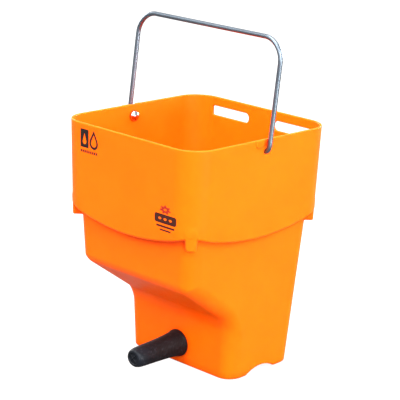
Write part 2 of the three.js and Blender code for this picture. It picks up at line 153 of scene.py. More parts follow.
def lower_walls(x, y, z):
    """The lower part's outside: side and back walls, and a front of sump, ramp and wall."""
    side = leaning_wall(np.abs(x), z, *LOWER_HALF_X)
    back = leaning_wall(y, z, *LOWER_BACK_Y)
    wall, ramp = plane_through(RAMP_TOP, WALL_REF, y, z), plane_through(SUMP_TOP, RAMP_TOP, y, z)
    sump = plane_through(SUMP_BASE, SUMP_TOP, y, z)
    front = round_join(sump, round_meet(wall, ramp, ROUND["ramp"]), ROUND["sump"])
    return round_meet(side, np.maximum(back, front), LOWER_CORNER)


def ledge_height(x, y):
    """Height of the scalloped ledge: an arc along each wall, level round the corners."""

    def scallop(s, half):
        radius = (half * half + LEDGE_SAG * LEDGE_SAG) / (2 * LEDGE_SAG)
        s = np.minimum(np.abs(s), half)
        return LEDGE_END - LEDGE_SAG + radius - np.sqrt(radius * radius - s * s)

    return np.minimum(scallop(x, LEDGE_HALF_X), scallop(y, LEDGE_HALF_Y))


def lugs(x, y, z, walls):
    """The stacking lugs that hang below the ledge at the four corners."""
    across = np.abs(np.abs(x) - np.abs(y) + (HALF_Y - HALF_X)) / math.sqrt(2)
    share = (z - LUG_BOTTOM) / (LUG_FULL - LUG_BOTTOM)
    half_width = (LUG_WIDTH[0] + (LUG_WIDTH[1] - LUG_WIDTH[0]) * share) / 2
    web = round_meet(round_meet(across - half_width, LUG_BOTTOM - z, ROUND["lug"]), walls, ROUND["lug"])
    return np.maximum(np.maximum(web, z - LEDGE_END - INSIDE_LAP), LUG_REACH - np.abs(x) - np.abs(y))


def pads(x, y, z):
    """Two low pads on each side wall, one before and one behind the handle's leaning leg."""
    lean = (RIM_Z - z) * math.tan(LEAN)
    over = RIM_Z - PAD_HEIGHT - z
    front = round_meet(np.maximum(PAD_FRONT_Y[0] - y, y - PAD_FRONT_Y[1] + lean), over, ROUND["pad"])
    back = round_meet(np.maximum(PAD_BACK_Y[0] - lean - y, y - PAD_BACK_Y[1]), over, ROUND["pad"])
    proud = np.maximum(np.abs(x) - HALF_X - PAD_PROUD, HALF_X - PAD_ROOT - np.abs(x))
    return round_meet(np.minimum(front, back), proud, ROUND["pad_edge"])


def leg_seats(x, y, z):
    """The shallow recess in each side wall, between the pads, where a leg of the handle rests."""
    along = y + (RIM_Z - z) * math.tan(LEAN)
    between = np.abs(along) - SEAT_HALF_Y
    return np.maximum(np.maximum(between, RIM_Z - PAD_HEIGHT - z), HALF_X - SEAT_DEPTH - np.abs(x))


def slots(x, y, z):
    """The two hanging slots, rounder at the end nearer the middle."""
    middle = (SLOT_X[0] + SLOT_X[1]) / 2
    dx, dz = np.abs(x) - middle, z - SLOT_Z
    r = np.where(dx > 0, SLOT_OUTER_R, SLOT_INNER_R)
    flat = rounded_rectangle(dx, dz, (SLOT_X[1] - SLOT_X[0]) / 2, SLOT_HEIGHT / 2, r)
    return np.maximum(flat, HALF_Y - SLOT_CUT - y)


def arches(y, over_foot):
    """The arch cut through the foot under each side wall."""
    radius = (ARCH_HEIGHT**2 + (ARCH_SPAN / 2) ** 2) / (2 * ARCH_HEIGHT)
    return np.hypot(y - ARCH_Y, over_foot - ARCH_HEIGHT + radius) - radius


def pivot_holes(x, y, z):
    return np.maximum(np.hypot(y - PIVOT_Y, z - PIVOT_Z) - PIVOT_HOLE_R, PIVOT_HOLE_X - np.abs(x))


def teat_hole(x, y, z):
    out, up = TEAT_SEAT_Y - y, z - TEAT_Z
    along = out * math.cos(TEAT_TILT) - up * math.sin(TEAT_TILT)
    lift = up * math.cos(TEAT_TILT) + out * math.sin(TEAT_TILT)
    return np.maximum(np.hypot(x, lift) - TEAT_HOLE_R, np.abs(along) - TEAT_HOLE_REACH)


def tub_distance(x, y, z):
    """Signed distance to the whole moulding: its outside, less its inside and every hole."""
    upper = upper_walls(x, y, z)
    lower = lower_walls(x, y, z)
    ledge = ledge_height(x, y)
    over_foot = z - (y - SUMP_BASE[0]) * FLOOR_RISE

    outside = round_meet(upper, (ledge - z) * LEDGE_SQUARE, ROUND["ledge"])
    below = np.maximum(lower, z - LEDGE_END - OUTSIDE_LAP)
    outside = round_join(outside, below, ROUND["under_ledge"])
    outside = round_join(outside, lugs(x, y, z, upper), ROUND["lug_root"])

    room = round_meet(upper + WALL, (ledge + WALL - z) * LEDGE_SQUARE, ROUND["room_ledge"])
    sump = round_meet(lower + WALL, FLOOR_TOP - over_foot, ROUND["room_floor"])
    room = round_join(room, np.maximum(sump, z - LEDGE_END - INSIDE_LAP), ROUND["room_join"])

    shell = round_join(np.maximum(outside, -room), pads(x, y, z), ROUND["pad_edge"])
    shell = round_meet(shell, -leg_seats(x, y, z), ROUND["pad_edge"])
    shell = round_meet(shell, z - RIM_Z, ROUND["rim"])
    shell = round_meet(shell, -slots(x, y, z), ROUND["slot"])
    shell = round_meet(shell, -pivot_holes(x, y, z), ROUND["pivot_hole"])
    shell = round_meet(shell, -teat_hole(x, y, z), ROUND["teat_hole"])
    recess = round_meet(lower + WALL, over_foot - FLOOR_TOP + FLOOR_THICK, ROUND["recess"])
    shell = np.maximum(shell, -recess)
    shell = round_meet(shell, -arches(y, over_foot), ROUND["arch"])
    return round_meet(shell, -over_foot, ROUND["foot"])


# ------------------------------------------------------------------ surface of a distance field

SLAB = 24  # grid levels worked out at a time, to save memory
LEAST_STEEP, LONGEST_MOVE = 0.2, 0.5
CORNERS = [(i, j, k) for i in (0, 1) for j in (0, 1) for k in (0, 1)]


def graded(*bands):
    """Grid lines from (start, end, step) bands that follow on from one another."""
    lines = []
    for start, end, step in bands:
        count = max(1, round((end - start) / step))
        lines.extend(np.linspace(start, end, count, endpoint=False))
    lines.append(bands[-1][1])
    return np.array(lines, np.float32)


def gradient(distance, p, step=0.05):
    slopes = []
    for axis in range(3):
        ahead, behind = p.copy(), p.copy()
        ahead[:, axis] += step
        behind[:, axis] -= step
        slopes.append((distance(*ahead.T) - distance(*behind.T)) / (2 * step))
    return np.stack(slopes, 1)


def sample(distance, xs, ys, zs):
    field = np.empty((len(xs), len(ys), len(zs)), np.float32)
    for k in range(0, len(zs), SLAB):
        slab = slice(k, k + SLAB)
        field[:, :, slab] = distance(xs[:, None, None], ys[None, :, None], zs[None, None, slab])
    return field


def crossed_cells(inside):
    """The grid cells that the surface crosses, and a grid that holds each one's number."""
    count = np.zeros(tuple(n - 1 for n in inside.shape), np.int8)
    nx, ny, nz = count.shape
    for i, j, k in CORNERS:
        count += inside[i : i + nx, j : j + ny, k : k + nz]
    cells = np.argwhere((count > 0) & (count < 8))
    number = np.full(count.shape, -1, np.int32)
    number[tuple(cells.T)] = np.arange(len(cells))
    return cells, number


def mean_crossings(field, lines, cells):
    """The middle of the places where the surface cuts each cell's edges."""
    total = np.zeros((len(cells), 3))
    hits = np.zeros(len(cells))
    for axis in range(3):
        for corner in (c for c in CORNERS if not c[axis]):
            a = cells + corner
            b = a.copy()
            b[:, axis] += 1
            fa, fb = field[tuple(a.T)], field[tuple(b.T)]
            crossed = (fa < 0) != (fb < 0)
            t = np.where(crossed, fa / np.where(crossed, fa - fb, 1), 0)
            for d in range(3):
                pa, pb = lines[d][a[:, d]], lines[d][b[:, d]]
                total[:, d] += np.where(crossed, pa + (pb - pa) * t, 0)
            hits += crossed
    return total / hits[:, None]


def crossing_quads(inside, number, axis):
    """A quad round every grid edge along one axis that the surface crosses."""
    u, v = (axis + 1) % 3, (axis + 2) % 3
    low, high = [slice(None)] * 3, [slice(None)] * 3
    low[axis], high[axis] = slice(None, -1), slice(1, None)
    start, end = inside[tuple(low)], inside[tuple(high)]
    edges = np.argwhere(start != end)
    edges = edges[(edges[:, u] > 0) & (edges[:, v] > 0)]
    edges = edges[(edges[:, u] < inside.shape[u] - 1) & (edges[:, v] < inside.shape[v] - 1)]
    ring = []
    for du, dv in ((-1, -1), (0, -1), (0, 0), (-1, 0)):
        cell = edges.copy()
        cell[:, u] += du
        cell[:, v] += dv
        ring.append(number[tuple(cell.T)])
    ring = np.stack(ring, 1)
    leaving = start[tuple(edges.T)]
    ring[~leaving] = ring[~leaving][:, ::-1]
    return ring


def settle(distance, points):
    """Moves points along the field's slope until they lie on its surface."""
    for _ in range(2):
        slope = gradient(distance, points)
        steep = np.maximum((slope**2).sum(1), LEAST_STEEP)
        move = -slope * (distance(*points.T) / steep)[:, None]
        length = np.linalg.norm(move, axis=1)
        points += move * np.minimum(1, LONGEST_MOVE / np.maximum(length, 1e-9))[:, None]
    return points


def surface_net(distance, xs, ys, zs):
    """One vertex in every grid cell that the surface crosses, one quad on every grid edge it crosses."""
    field = sample(distance, xs, ys, zs)
    inside = field < 0
    cells, number = crossed_cells(inside)
    points = settle(distance, mean_crossings(field, (xs, ys, zs), cells))
    return points, np.concatenate([crossing_quads(inside, number, axis) for axis in range(3)])


# ------------------------------------------------------------------ mesh helpers

ON_AXIS = 1e-6  # millimetres: a smaller radius counts as a point on the axis
WELD = 1e-6  # metres


def put(name, data):
    """A new object in the scene for a mesh, curve, light or camera."""
    made = bpy.data.objects.new(name, data)
    bpy.context.scene.collection.objects.link(made)
    return made


def dress(piece, material, body, node=None):
    """Gives a piece its material in a material slot and its body, and hides the CAD node that it stands
    for.
    """
    piece.data.materials.clear()
    piece.data.materials.append(material)
    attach(piece, body)
    if node:
        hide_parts(node)


def add_object(name, points, faces):
    """A smooth mesh from points in millimetres and faces that all have the same number of sides."""
    mesh = bpy.data.meshes.new(name)
    points = np.asarray(points, np.float64) * MM
    faces = np.asarray(faces)
    mesh.vertices.add(len(points))
    mesh.vertices.foreach_set("co", points.ravel())
    mesh.loops.add(faces.size)
    mesh.loops.foreach_set("vertex_index", faces.ravel().astype(np.int32))
    mesh.polygons.add(len(faces))
    mesh.polygons.foreach_set("loop_start", np.arange(0, faces.size, faces.shape[1], dtype=np.int32))
    mesh.polygons.foreach_set("use_smooth", np.full(len(faces), True))
    mesh.update(calc_edges=True)
    mesh.validate()
    return put(name, mesh)


def from_bmesh(name, bm, place):
    """Ends a bmesh in millimetres: faces outwards, moved by a 4x4 matrix in millimetres, made metres."""
    bmesh.ops.recalc_face_normals(bm, faces=bm.faces)
    bm.transform(place)
    bmesh.ops.scale(bm, vec=(MM,) * 3, verts=bm.verts)
    mesh = bpy.data.meshes.new(name)
    bm.to_mesh(mesh)
    bm.free()
    return put(name, mesh)


def lathe(name, profile, segments, place):
    """Turns a closed profile of (radius, height) about Z, then places it."""
    bm = bmesh.new()
    rings = []
    for r, h in profile:
        if r < ON_AXIS:
            rings.append([bm.verts.new((0, 0, h))])
            continue
        turn = [2 * math.pi * i / segments for i in range(segments)]
        rings.append([bm.verts.new((r * math.cos(t), r * math.sin(t), h)) for t in turn])
    for one, two in zip(rings, rings[1:] + rings[:1]):
        if len(one) == 1 and len(two) == 1:
            continue
        for i in range(segments):
            j = (i + 1) % segments
            corners = [one[i % len(one)], one[j % len(one)], two[j % len(two)], two[i % len(two)]]
            bm.faces.new(list(dict.fromkeys(corners)))
    for face in bm.faces:
        face.smooth = True
    return from_bmesh(name, bm, place)


def arc(cx, cy, rx, ry, start, end, count):
    """Points along an ellipse, anticlockwise between two angles in degrees."""
    turn = np.radians(np.linspace(start, end, count))
    return [(cx + rx * math.cos(a), cy + ry * math.sin(a)) for a in turn]


def smooth_line(points, spacing):
    """A Catmull-Rom line through 2-D points, resampled evenly."""
    p = np.array(points, float)
    p = np.vstack([2 * p[0] - p[1], p, 2 * p[-1] - p[-2]])
    dense = []
    for i in range(1, len(p) - 2):
        for t in np.linspace(0, 1, 24, endpoint=False):
            a, b, c, d = p[i - 1 : i + 3]
            dense.append(
                0.5 * (2 * b + (c - a) * t + (2 * a - 5 * b + 4 * c - d) * t**2
                       + (3 * b - a - 3 * c + d) * t**3)
            )
    dense.append(p[-2])
    dense = np.array(dense)
    run = np.concatenate([[0], np.cumsum(np.linalg.norm(np.diff(dense, axis=0), axis=1))])
    at = np.linspace(0, run[-1], max(2, round(run[-1] / spacing)))
    return np.stack([np.interp(at, run, dense[:, k]) for k in range(2)], 1)


# ------------------------------------------------------------------ node materials

# metres: how far the ambient occlusion reaches that lays painted shade into creases
PAINTED_SHADE_REACH = 0.014
# the darkest, reddest colour is painted shade, laid into creases and corners by the ambient occlusion mask
ORANGE = {
    "deep": (0.93, 0.104, 0.0010), "plain": (0.97, 0.114, 0.0014), "cloud": (1.0, 0.128, 0.002),
    "worn": (1.0, 0.150, 0.004), "painted_shade": (0.60, 0.030, 0.0006),
}
ZINC = {"dark": (0.112, 0.136, 0.164), "light": (0.130, 0.155, 0.185), "drawn": (0.16, 0.19, 0.22)}
PLATE = {"dull": (0.34, 0.35, 0.38), "bright": (0.43, 0.44, 0.47)}
STEEL = {"dark": (0.16, 0.17, 0.18), "light": (0.32, 0.33, 0.35)}
# the tip colours are a painted sheen, lighter and bluer than the rest of the rubber
RUBBER = {
    "dark": (0.003, 0.0017, 0.002), "light": (0.006, 0.0042, 0.005), "speck": (0.030, 0.030, 0.036),
    "tip_sheen_dark": (0.003, 0.004, 0.006), "tip_sheen_light": (0.009, 0.011, 0.016),
}
TIP_WEAR_AND_SHEEN_Y = (-0.100, -0.066)  # metres: the polish and painted sheen are full beyond the first, and none behind the second
FLOOR_TONE = {"dark": (0.125, 0.125, 0.125), "light": (0.14, 0.14, 0.138)}
FLOOR_GLOW = 0.9
BSDF_INPUTS = {
    "colour": "Base Color", "roughness": "Roughness", "metallic": "Metallic", "normal": "Normal",
    "specular": "Specular IOR Level", "subsurface": "Subsurface Weight",
    "subsurface_scale": "Subsurface Scale", "subsurface_radius": "Subsurface Radius",
}


class Nodes:
    """A short hand for building a material's nodes."""

    def __init__(self, name):
        self.material = bpy.data.materials.new(name)
        self.material.use_nodes = True
        self.tree = self.material.node_tree
        self.shader = self.tree.nodes["Principled BSDF"]
        self.place = self.add("ShaderNodeTexCoord").outputs["Object"]

    def add(self, kind, **settings):
        node = self.tree.nodes.new(kind)
        for key, value in settings.items():
            setattr(node, key, value)
        return node

    def give(self, socket, value):
        """Sets a socket to a number, vector or colour, or links it to another node's output."""
        if isinstance(value, (int, float)):
            socket.default_value = value
        elif isinstance(value, tuple):
            socket.default_value = (*value, 1) if len(socket.default_value) == 4 else value
        else:
            self.tree.links.new(value, socket)

    def stretched(self, scale):
        mapping = self.add("ShaderNodeMapping")
        self.give(mapping.inputs["Vector"], self.place)
        self.give(mapping.inputs["Scale"], scale)
        return mapping.outputs["Vector"]

    def noise(self, scale, detail, roughness, place=None, distortion=0.0):
        node = self.add("ShaderNodeTexNoise")
        self.give(node.inputs["Vector"], place or self.place)
        self.give(node.inputs["Scale"], scale)
        self.give(node.inputs["Detail"], detail)
        self.give(node.inputs["Roughness"], roughness)
        self.give(node.inputs["Distortion"], distortion)
        return node.outputs["Fac"]

    def ramp(self, value, start, end):
        """Blends between two stops of (position, colour)."""
        node = self.add("ShaderNodeValToRGB")
        self.give(node.inputs["Fac"], value)
        for element, (position, colour) in zip(node.color_ramp.elements, (start, end)):
            element.position = position
            element.color = (*colour, 1)
        return node.outputs["Color"]

    def level(self, value, low, high, from_low=0.0, from_high=1.0):
        """Takes the range from_low to from_high to the range low to high."""
        node = self.add("ShaderNodeMapRange")
        self.give(node.inputs["Value"], value)
        self.give(node.inputs["From Min"], from_low)
        self.give(node.inputs["From Max"], from_high)
        self.give(node.inputs["To Min"], low)
        self.give(node.inputs["To Max"], high)
        return node.outputs["Result"]

    def maths(self, operation, a, b):
        node = self.add("ShaderNodeMath", operation=operation)
        self.give(node.inputs[0], a)
        self.give(node.inputs[1], b)
        return node.outputs["Value"]

    def mix(self, factor, a, b):
        node = self.add("ShaderNodeMix", data_type="RGBA")
        for index, value in ((0, factor), (6, a), (7, b)):
            self.give(node.inputs[index], value)
        return node.outputs[2]

    def bump(self, height, strength, distance, under=None):
        node = self.add("ShaderNodeBump")
        self.give(node.inputs["Height"], height)
        self.give(node.inputs["Strength"], strength)
        self.give(node.inputs["Distance"], distance)
        if under is not None:
            self.give(node.inputs["Normal"], under)
        return node.outputs["Normal"]

    def feed(self, **inputs):
        for key, value in inputs.items():
            self.give(self.shader.inputs[BSDF_INPUTS[key]], value)
        return self.material


def moulded_plastic():
    """Satin orange polyethylene: faint flow mottle, moulded grain, scuffed edges, painted shade in creases
    and corners, a little see-through.
    """
    n = Nodes("moulded_orange")
    base = n.ramp(n.noise(9, 4, 0.55), (0.3, ORANGE["deep"]), (0.7, ORANGE["plain"]))
    base = n.mix(n.level(n.noise(34, 3, 0.6), 0, 0.22, 0.45, 0.75), base, ORANGE["cloud"])
    edge = n.add("ShaderNodeNewGeometry").outputs["Pointiness"]
    scuffed = n.level(n.noise(60, 4, 0.7), 0, 0.7, 0.4, 0.7)
    worn = n.maths("MULTIPLY", n.level(edge, 0, 1, 0.53, 0.62), scuffed)
    base = n.mix(worn, base, ORANGE["worn"])
    # painted shade: ambient occlusion darkens the colour to a deep red in creases, under the ledge and
    # beside the rod
    painted_shade = n.add("ShaderNodeAmbientOcclusion", samples=8)
    n.give(painted_shade.inputs["Distance"], PAINTED_SHADE_REACH)
    base = n.mix(n.level(painted_shade.outputs["AO"], 0.85, 0, 0.15, 0.92), base, ORANGE["painted_shade"])
    scratch = n.noise(5, 6, 0.75, n.stretched((60, 60, 6)), 0.6)
    rough = n.level(n.noise(22, 4, 0.6), 0.34, 0.46)
    rough = n.maths("ADD", rough, n.level(scratch, -0.03, 0.08, 0.45, 0.7))
    grain = n.bump(n.noise(1400, 2, 0.5), 0.10, 0.0002)
    wave = n.bump(n.noise(38, 2, 0.4), 0.10, 0.0012, grain)
    wave = n.bump(scratch, 0.04, 0.0003, wave)
    return n.feed(
        colour=base, roughness=rough, normal=wave, specular=0.08,
        subsurface=0.35, subsurface_scale=0.006, subsurface_radius=(1.0, 0.45, 0.08),
    )


def plated_rod():
    """Zinc-plated drawn wire: blue-grey, with long draw marks and small dull patches."""
    n = Nodes("zinc_plated_rod")
    draw = n.noise(18, 4, 0.55, n.stretched((30, 30, 2.5)))
    patch = n.noise(45, 4, 0.6)
    base = n.ramp(patch, (0.3, ZINC["dark"]), (0.7, ZINC["light"]))
    base = n.mix(n.level(draw, 0, 0.2, 0.5, 0.7), base, ZINC["drawn"])
    return n.feed(colour=base, metallic=1.0, roughness=n.level(patch, 0.36, 0.42, 0.35, 0.65))


def bright_plate():
    """Bright-plated pressed dome with faint handling marks."""
    n = Nodes("bright_plate")
    smear = n.noise(160, 4, 0.6)
    return n.feed(
        colour=n.ramp(smear, (0.35, PLATE["dull"]), (0.7, PLATE["bright"])), metallic=1.0,
        roughness=n.level(smear, 0.03, 0.08, 0.35, 0.7),
        normal=n.bump(n.noise(500, 3, 0.6), 0.05, 0.0001),
    )


def spring_steel():
    """Dull grey tempered strip."""
    n = Nodes("spring_steel")
    tint = n.noise(220, 4, 0.6)
    return n.feed(
        colour=n.ramp(tint, (0.35, STEEL["dark"]), (0.7, STEEL["light"])), metallic=1.0,
        roughness=n.level(tint, 0.3, 0.5, 0.35, 0.7), normal=n.bump(tint, 0.15, 0.0001),
    )


def teat_rubber():
    """Black rubber that is shinier towards the tip, where it is handled, with a painted sheen that turns
    its colour lighter and bluer there.
    """
    n = Nodes("teat_rubber")
    split = n.add("ShaderNodeSeparateXYZ")
    n.give(split.inputs["Vector"], n.place)
    # painted sheen: towards the tip the colour turns lighter and bluer, and the roughness falls for the
    # polish of handling
    worn = n.level(split.outputs["Y"], 1, 0, *TIP_WEAR_AND_SHEEN_Y)
    bloom = n.noise(55, 4, 0.6)
    base = n.ramp(bloom, (0.3, RUBBER["dark"]), (0.75, RUBBER["light"]))
    tip = n.ramp(bloom, (0.3, RUBBER["tip_sheen_dark"]), (0.75, RUBBER["tip_sheen_light"]))
    base = n.mix(worn, base, tip)
    base = n.mix(n.level(n.noise(300, 4, 0.7), 0, 0.8, 0.56, 0.70), base, RUBBER["speck"])
    polish = n.maths("MULTIPLY", worn, 0.12)
    rough = n.maths("SUBTRACT", n.level(n.noise(130, 3, 0.6), 0.52, 0.70), polish)
    grain = n.bump(n.noise(900, 3, 0.6), 0.25, 0.0002)
    wave = n.bump(bloom, 0.6, 0.0008, grain)
    return n.feed(colour=base, roughness=rough, normal=wave, specular=0.11)


def printed_ink(name, dark, light):
    """Pad-printed ink that has worn thin in small patches."""
    n = Nodes(name)
    thin = n.noise(420, 5, 0.7)
    return n.feed(
        colour=n.mix(n.level(thin, 0, 0.6, 0.6, 0.75), dark, light), specular=0.15,
        roughness=n.level(thin, 0.42, 0.62), normal=n.bump(thin, 0.1, 0.0001),
    )


def pale_floor():
    """A pale studio floor that returns less light to the underside of the object than it shows."""
    n = Nodes("pale_floor")
    tone = n.ramp(n.noise(1.2, 2, 0.5), (0.3, FLOOR_TONE["dark"]), (0.7, FLOOR_TONE["light"]))
    n.feed(colour=tone, roughness=0.9, specular=0.0)
    glow = n.add("ShaderNodeEmission")
    n.give(glow.inputs["Strength"], FLOOR_GLOW)
    both = n.add("ShaderNodeAddShader")
    n.give(both.inputs[0], n.shader.outputs[0])
    n.give(both.inputs[1], glow.outputs[0])
    pick = n.add("ShaderNodeMixShader")
    n.give(pick.inputs["Fac"], n.add("ShaderNodeLightPath").outputs["Is Camera Ray"])
    n.give(pick.inputs[1], n.shader.outputs[0])
    n.give(pick.inputs[2], both.outputs[0])
    n.give(n.tree.nodes["Material Output"].inputs["Surface"], pick.outputs[0])
    return n.material


# ------------------------------------------------------------------ the tub


def make_tub():
    """The tub's surface, on a grid that is finest where its edges are rounded most tightly."""
    coarse = 1.0
    xs_right = graded((0, 14, 1.8), (14, 92, 1.8 * coarse), (92, 112, 1.3), (112, 123, 0.75))
    xs = np.concatenate([-xs_right[::-1][:-1], xs_right])
    ys = graded(
        (-128, -118, 0.9), (-118, -100, 1.2), (-100, -30, 1.8), (-30, -22, 1.2), (-22, 18, 0.65),
        (18, 84, 1.8), (84, 108, 1.3), (108, 119, 1.1), (119, 127, 0.75),
    )
    zs = graded(
        (-1.5, 18, 0.9), (18, 62, 2.2), (62, 92, 1.6), (92, 126, 1.8), (126, 146, 1.4),
        (146, 190, 3.0), (190, 220, 0.9), (220, 290, 3.5), (290, 324, 0.75),
    )
    points, quads = surface_net(tub_distance, xs, ys, zs)
    piece = add_object("tub_moulding", points, quads)
    dress(piece, moulded_plastic(), "tub", "feeder_tub")


# ------------------------------------------------------------------ the teat

TEAT_LENGTH = 80.5
TEAT_GAP = 0.35
GROOVE_R, FLANGE_R, FLANGE_THICK = 11.85, 15.0, 4.2
TEAT_BASE_R = 18.2
TEAT_OUTSIDE = (  # (radius, distance out), base to tip
    (TEAT_BASE_R, 1.8), (17.9, 3.0), (17.25, 5), (16.6, 8), (16.0, 12), (15.4, 18), (14.8, 26),
    (14.35, 36), (14.0, 48), (13.8, 58), (13.6, 66), (13.4, 71), (12.9, 75), (12.0, 78),
    (10.8, 79.8), (9.6, 80.4),
)
TEAT_BORE = ((0, 75.5), (3.5, 75.2), (6.2, 73.5), (7.4, 68), (8.2, 20), (8.6, 0))
BORE_MOUTH_R = 9.0
RIB_HEIGHT, RIB_PITCH = 0.16, 2.6
RIB_START, RIB_RISE, RIB_END, RIB_FALL, RIB_LEAST = 2.0, 2.0, 70.0, 30.0, 0.25
FACE_R, RECESS_R, RECESS_DEPTH, RECESS_SLOPE = 9.0, 8.2, 1.2, 0.7
CROSS_FROM, CROSS_R, CROSS_FADE, CROSS_HEIGHT = 77.0, 7.2, 1.2, 0.8
ARM_HALF, SLIT_HALF, SLIT_SHARE = 1.7, 0.5, 1.9
SAG_FROM, SAG_OVER, SAG = 30.0, 40.0, 0.03  # the outer part is a little wider than it is tall


def rib(r, s):
    """Adds the fine rings that run round the teat and fade towards its tip."""
    fade = np.clip((RIB_END - s) / RIB_FALL, RIB_LEAST, 1) * np.clip((s - RIB_START) / RIB_RISE, 0, 1)
    return r + RIB_HEIGHT * fade * math.cos(2 * math.pi * s / RIB_PITCH), s


def teat_profile():
    """(radius, distance out from the wall's face), from the inner flange round to the bore."""
    inside = -WALL - TEAT_GAP
    back = inside - FLANGE_THICK
    flange = [(FLANGE_R - 0.8, back), (FLANGE_R, back + 0.8), (FLANGE_R, inside - 0.4),
              (FLANGE_R - 0.4, inside)]
    groove = [(GROOVE_R, inside), (GROOVE_R, TEAT_GAP)]
    base = [(TEAT_BASE_R - 0.5, TEAT_GAP), (TEAT_BASE_R, TEAT_GAP + 0.45), TEAT_OUTSIDE[0]]
    ribbed = [rib(r, s) for r, s in smooth_line(TEAT_OUTSIDE, 0.4)[1:]]
    face = [(r, TEAT_LENGTH - RECESS_DEPTH * np.clip((RECESS_R - r) / RECESS_SLOPE, 0, 1))
            for r in np.linspace(FACE_R, 0, 32)]
    return flange + groove + base + ribbed + face + list(TEAT_BORE) + [(BORE_MOUTH_R, back)]


def cross_lift(x, y):
    """Height of the cross on the tip's face: two low arms, each with a slit along its middle."""
    arm = min(abs(x + y), abs(x - y)) / math.sqrt(2)
    fade = np.clip((CROSS_R - math.hypot(x, y)) / CROSS_FADE, 0, 1)
    ridge, slit = math.exp(-((arm / ARM_HALF) ** 2)), math.exp(-((arm / SLIT_HALF) ** 2))
    return CROSS_HEIGHT * fade * (ridge - SLIT_SHARE * slit)


def make_teat():
    piece = lathe("rubber_teat", teat_profile(), 144, Matrix.Identity(4))
    for v in piece.data.vertices:
        x, y, s = v.co / MM
        if s > CROSS_FROM:
            v.co.z += cross_lift(x, y) * MM
        squash = 1 - SAG * np.clip((s - SAG_FROM) / SAG_OVER, 0, 1)
        v.co.x /= squash
        v.co.y *= squash
    seat = Matrix.Translation(Vector((0, TEAT_SEAT_Y, TEAT_Z)) * MM)
    piece.data.transform(seat @ Matrix.Rotation(math.radians(90) + TEAT_TILT, 4, "X"))
    dress(piece, teat_rubber(), "tub", "teat")


# ------------------------------------------------------------------ the handle

HANDLE_REACH, HANDLE_TOP_R = 137.8, 29.2
HANDLE_FOOT_R = (5.2, 9.5)  # across and up
CAP_CLEAR, ROD_IN_CAP = 0.6, 4.6
DOME_R, DOME_DEPTH, DOME_SHEET, DOME_LIP = 7.3, 6.8, 0.5, 1.2
NUT_TEETH, NUT_STEPS, NUT_GAP_PHASES = 6, 16, (0.22, 0.94)
NUT_R, NUT_GAP_R, NUT_BITE_R = 6.4, 4.5, ROD_R + 0.35
NUT_BASE, NUT_SHEET = 0.45, 0.5
DISH_R, DISH_WIDTH, DISH_HEIGHT = 4.8, 1.45, 0.9


def rod_line():
    """(x, z) along the rod's middle, upright about the pivot, from its right end to its left."""
    end_x = HALF_X - WALL - (RIM_Z - PIVOT_Z) * UPPER_DRAFT - CAP_CLEAR - ROD_IN_CAP
    foot_x, foot_z = HANDLE_FOOT_R
    bend_x, bend_z = LEG_X - HANDLE_TOP_R, HANDLE_REACH - HANDLE_TOP_R
    right = [(end_x, 0)]
    right += [(x, 0) for x in np.linspace(end_x + 1, LEG_X - foot_x - 0.5, 5)]
    right += arc(LEG_X - foot_x, foot_z, foot_x, foot_z, -90, 0, 15)
    right += [(LEG_X, z) for z in np.linspace(foot_z + 2, bend_z - 1, 40)]
    right += arc(bend_x, bend_z, HANDLE_TOP_R, HANDLE_TOP_R, 0, 90, 25)
    right += [(x, HANDLE_REACH) for x in np.linspace(bend_x - 2, 0, 40)]
    return np.array(right + [(-x, z) for x, z in right[-2::-1]])


def swept_tube(line, sides=40):
    """Points and faces of the rod along an (x, z) line, with softened ends."""
    tangent = np.gradient(line, axis=0)
    tangent /= np.linalg.norm(tangent, axis=1)[:, None]
    normal = np.stack([-tangent[:, 1], tangent[:, 0]], 1)
    end = [(0.0, 0), (ROD_R - 0.5, 0), (ROD_R - 0.15, 0.15), (ROD_R, 0.5)]
    stations = [(r, line[0] + tangent[0] * d, normal[0]) for r, d in end]
    stations += [(ROD_R, p, n) for p, n in zip(line[1:-1], normal[1:-1])]
    stations += [(r, line[-1] - tangent[-1] * d, normal[-1]) for r, d in end[::-1]]
    points, faces = [], []
    for r, p, n in stations:
        for i in range(sides):
            a = 2 * math.pi * i / sides
            u, v = r * math.cos(a), r * math.sin(a)
            points.append((p[0] + n[0] * u, v, p[1] + n[1] * u))
    for ring in range(len(stations) - 1):
        for i in range(sides):
            a, b = ring * sides + i, ring * sides + (i + 1) % sides
            faces.append((a, b, b + sides, a + sides))
    return np.array(points), faces


def make_rod():
    """The bent rod as one swept tube, leant back from upright to its place at rest."""
    points, faces = swept_tube(rod_line())
    lean = np.array(Matrix.Rotation(-LEAN, 3, "X"))
    piece = add_object("bail_rod", points @ lean.T + (0, PIVOT_Y, PIVOT_Z), faces)
    bm = bmesh.new()
    bm.from_mesh(piece.data)
    bmesh.ops.remove_doubles(bm, verts=bm.verts, dist=WELD)
    bmesh.ops.recalc_face_normals(bm, faces=bm.faces)
    bm.to_mesh(piece.data)
    bm.free()
    dress(piece, plated_rod(), "bail", "bail_handle")


def rod_end(side):
    """From a shape turned about Z, mouth at zero, to the rod's end inside one wall."""
    spin = Matrix.Rotation(math.radians(-90 * side), 4, "Y")
    return Matrix.Translation((CAP_MOUTH_X * side, PIVOT_Y, PIVOT_Z)) @ spin


def dome_profile():
    """(radius, height) of a pressed dome, out over its crown and back under it."""
    rise, inner_r = DOME_DEPTH - DOME_LIP, DOME_R - DOME_SHEET
    outer = [(DOME_R - 0.15, 0), (DOME_R, 0.15)] + arc(0, DOME_LIP, DOME_R, rise, 0, 90, 26)
    inner = [(inner_r, 0)] + arc(0, DOME_LIP, inner_r, rise - DOME_SHEET, 0, 90, 16)
    return outer + inner[::-1]


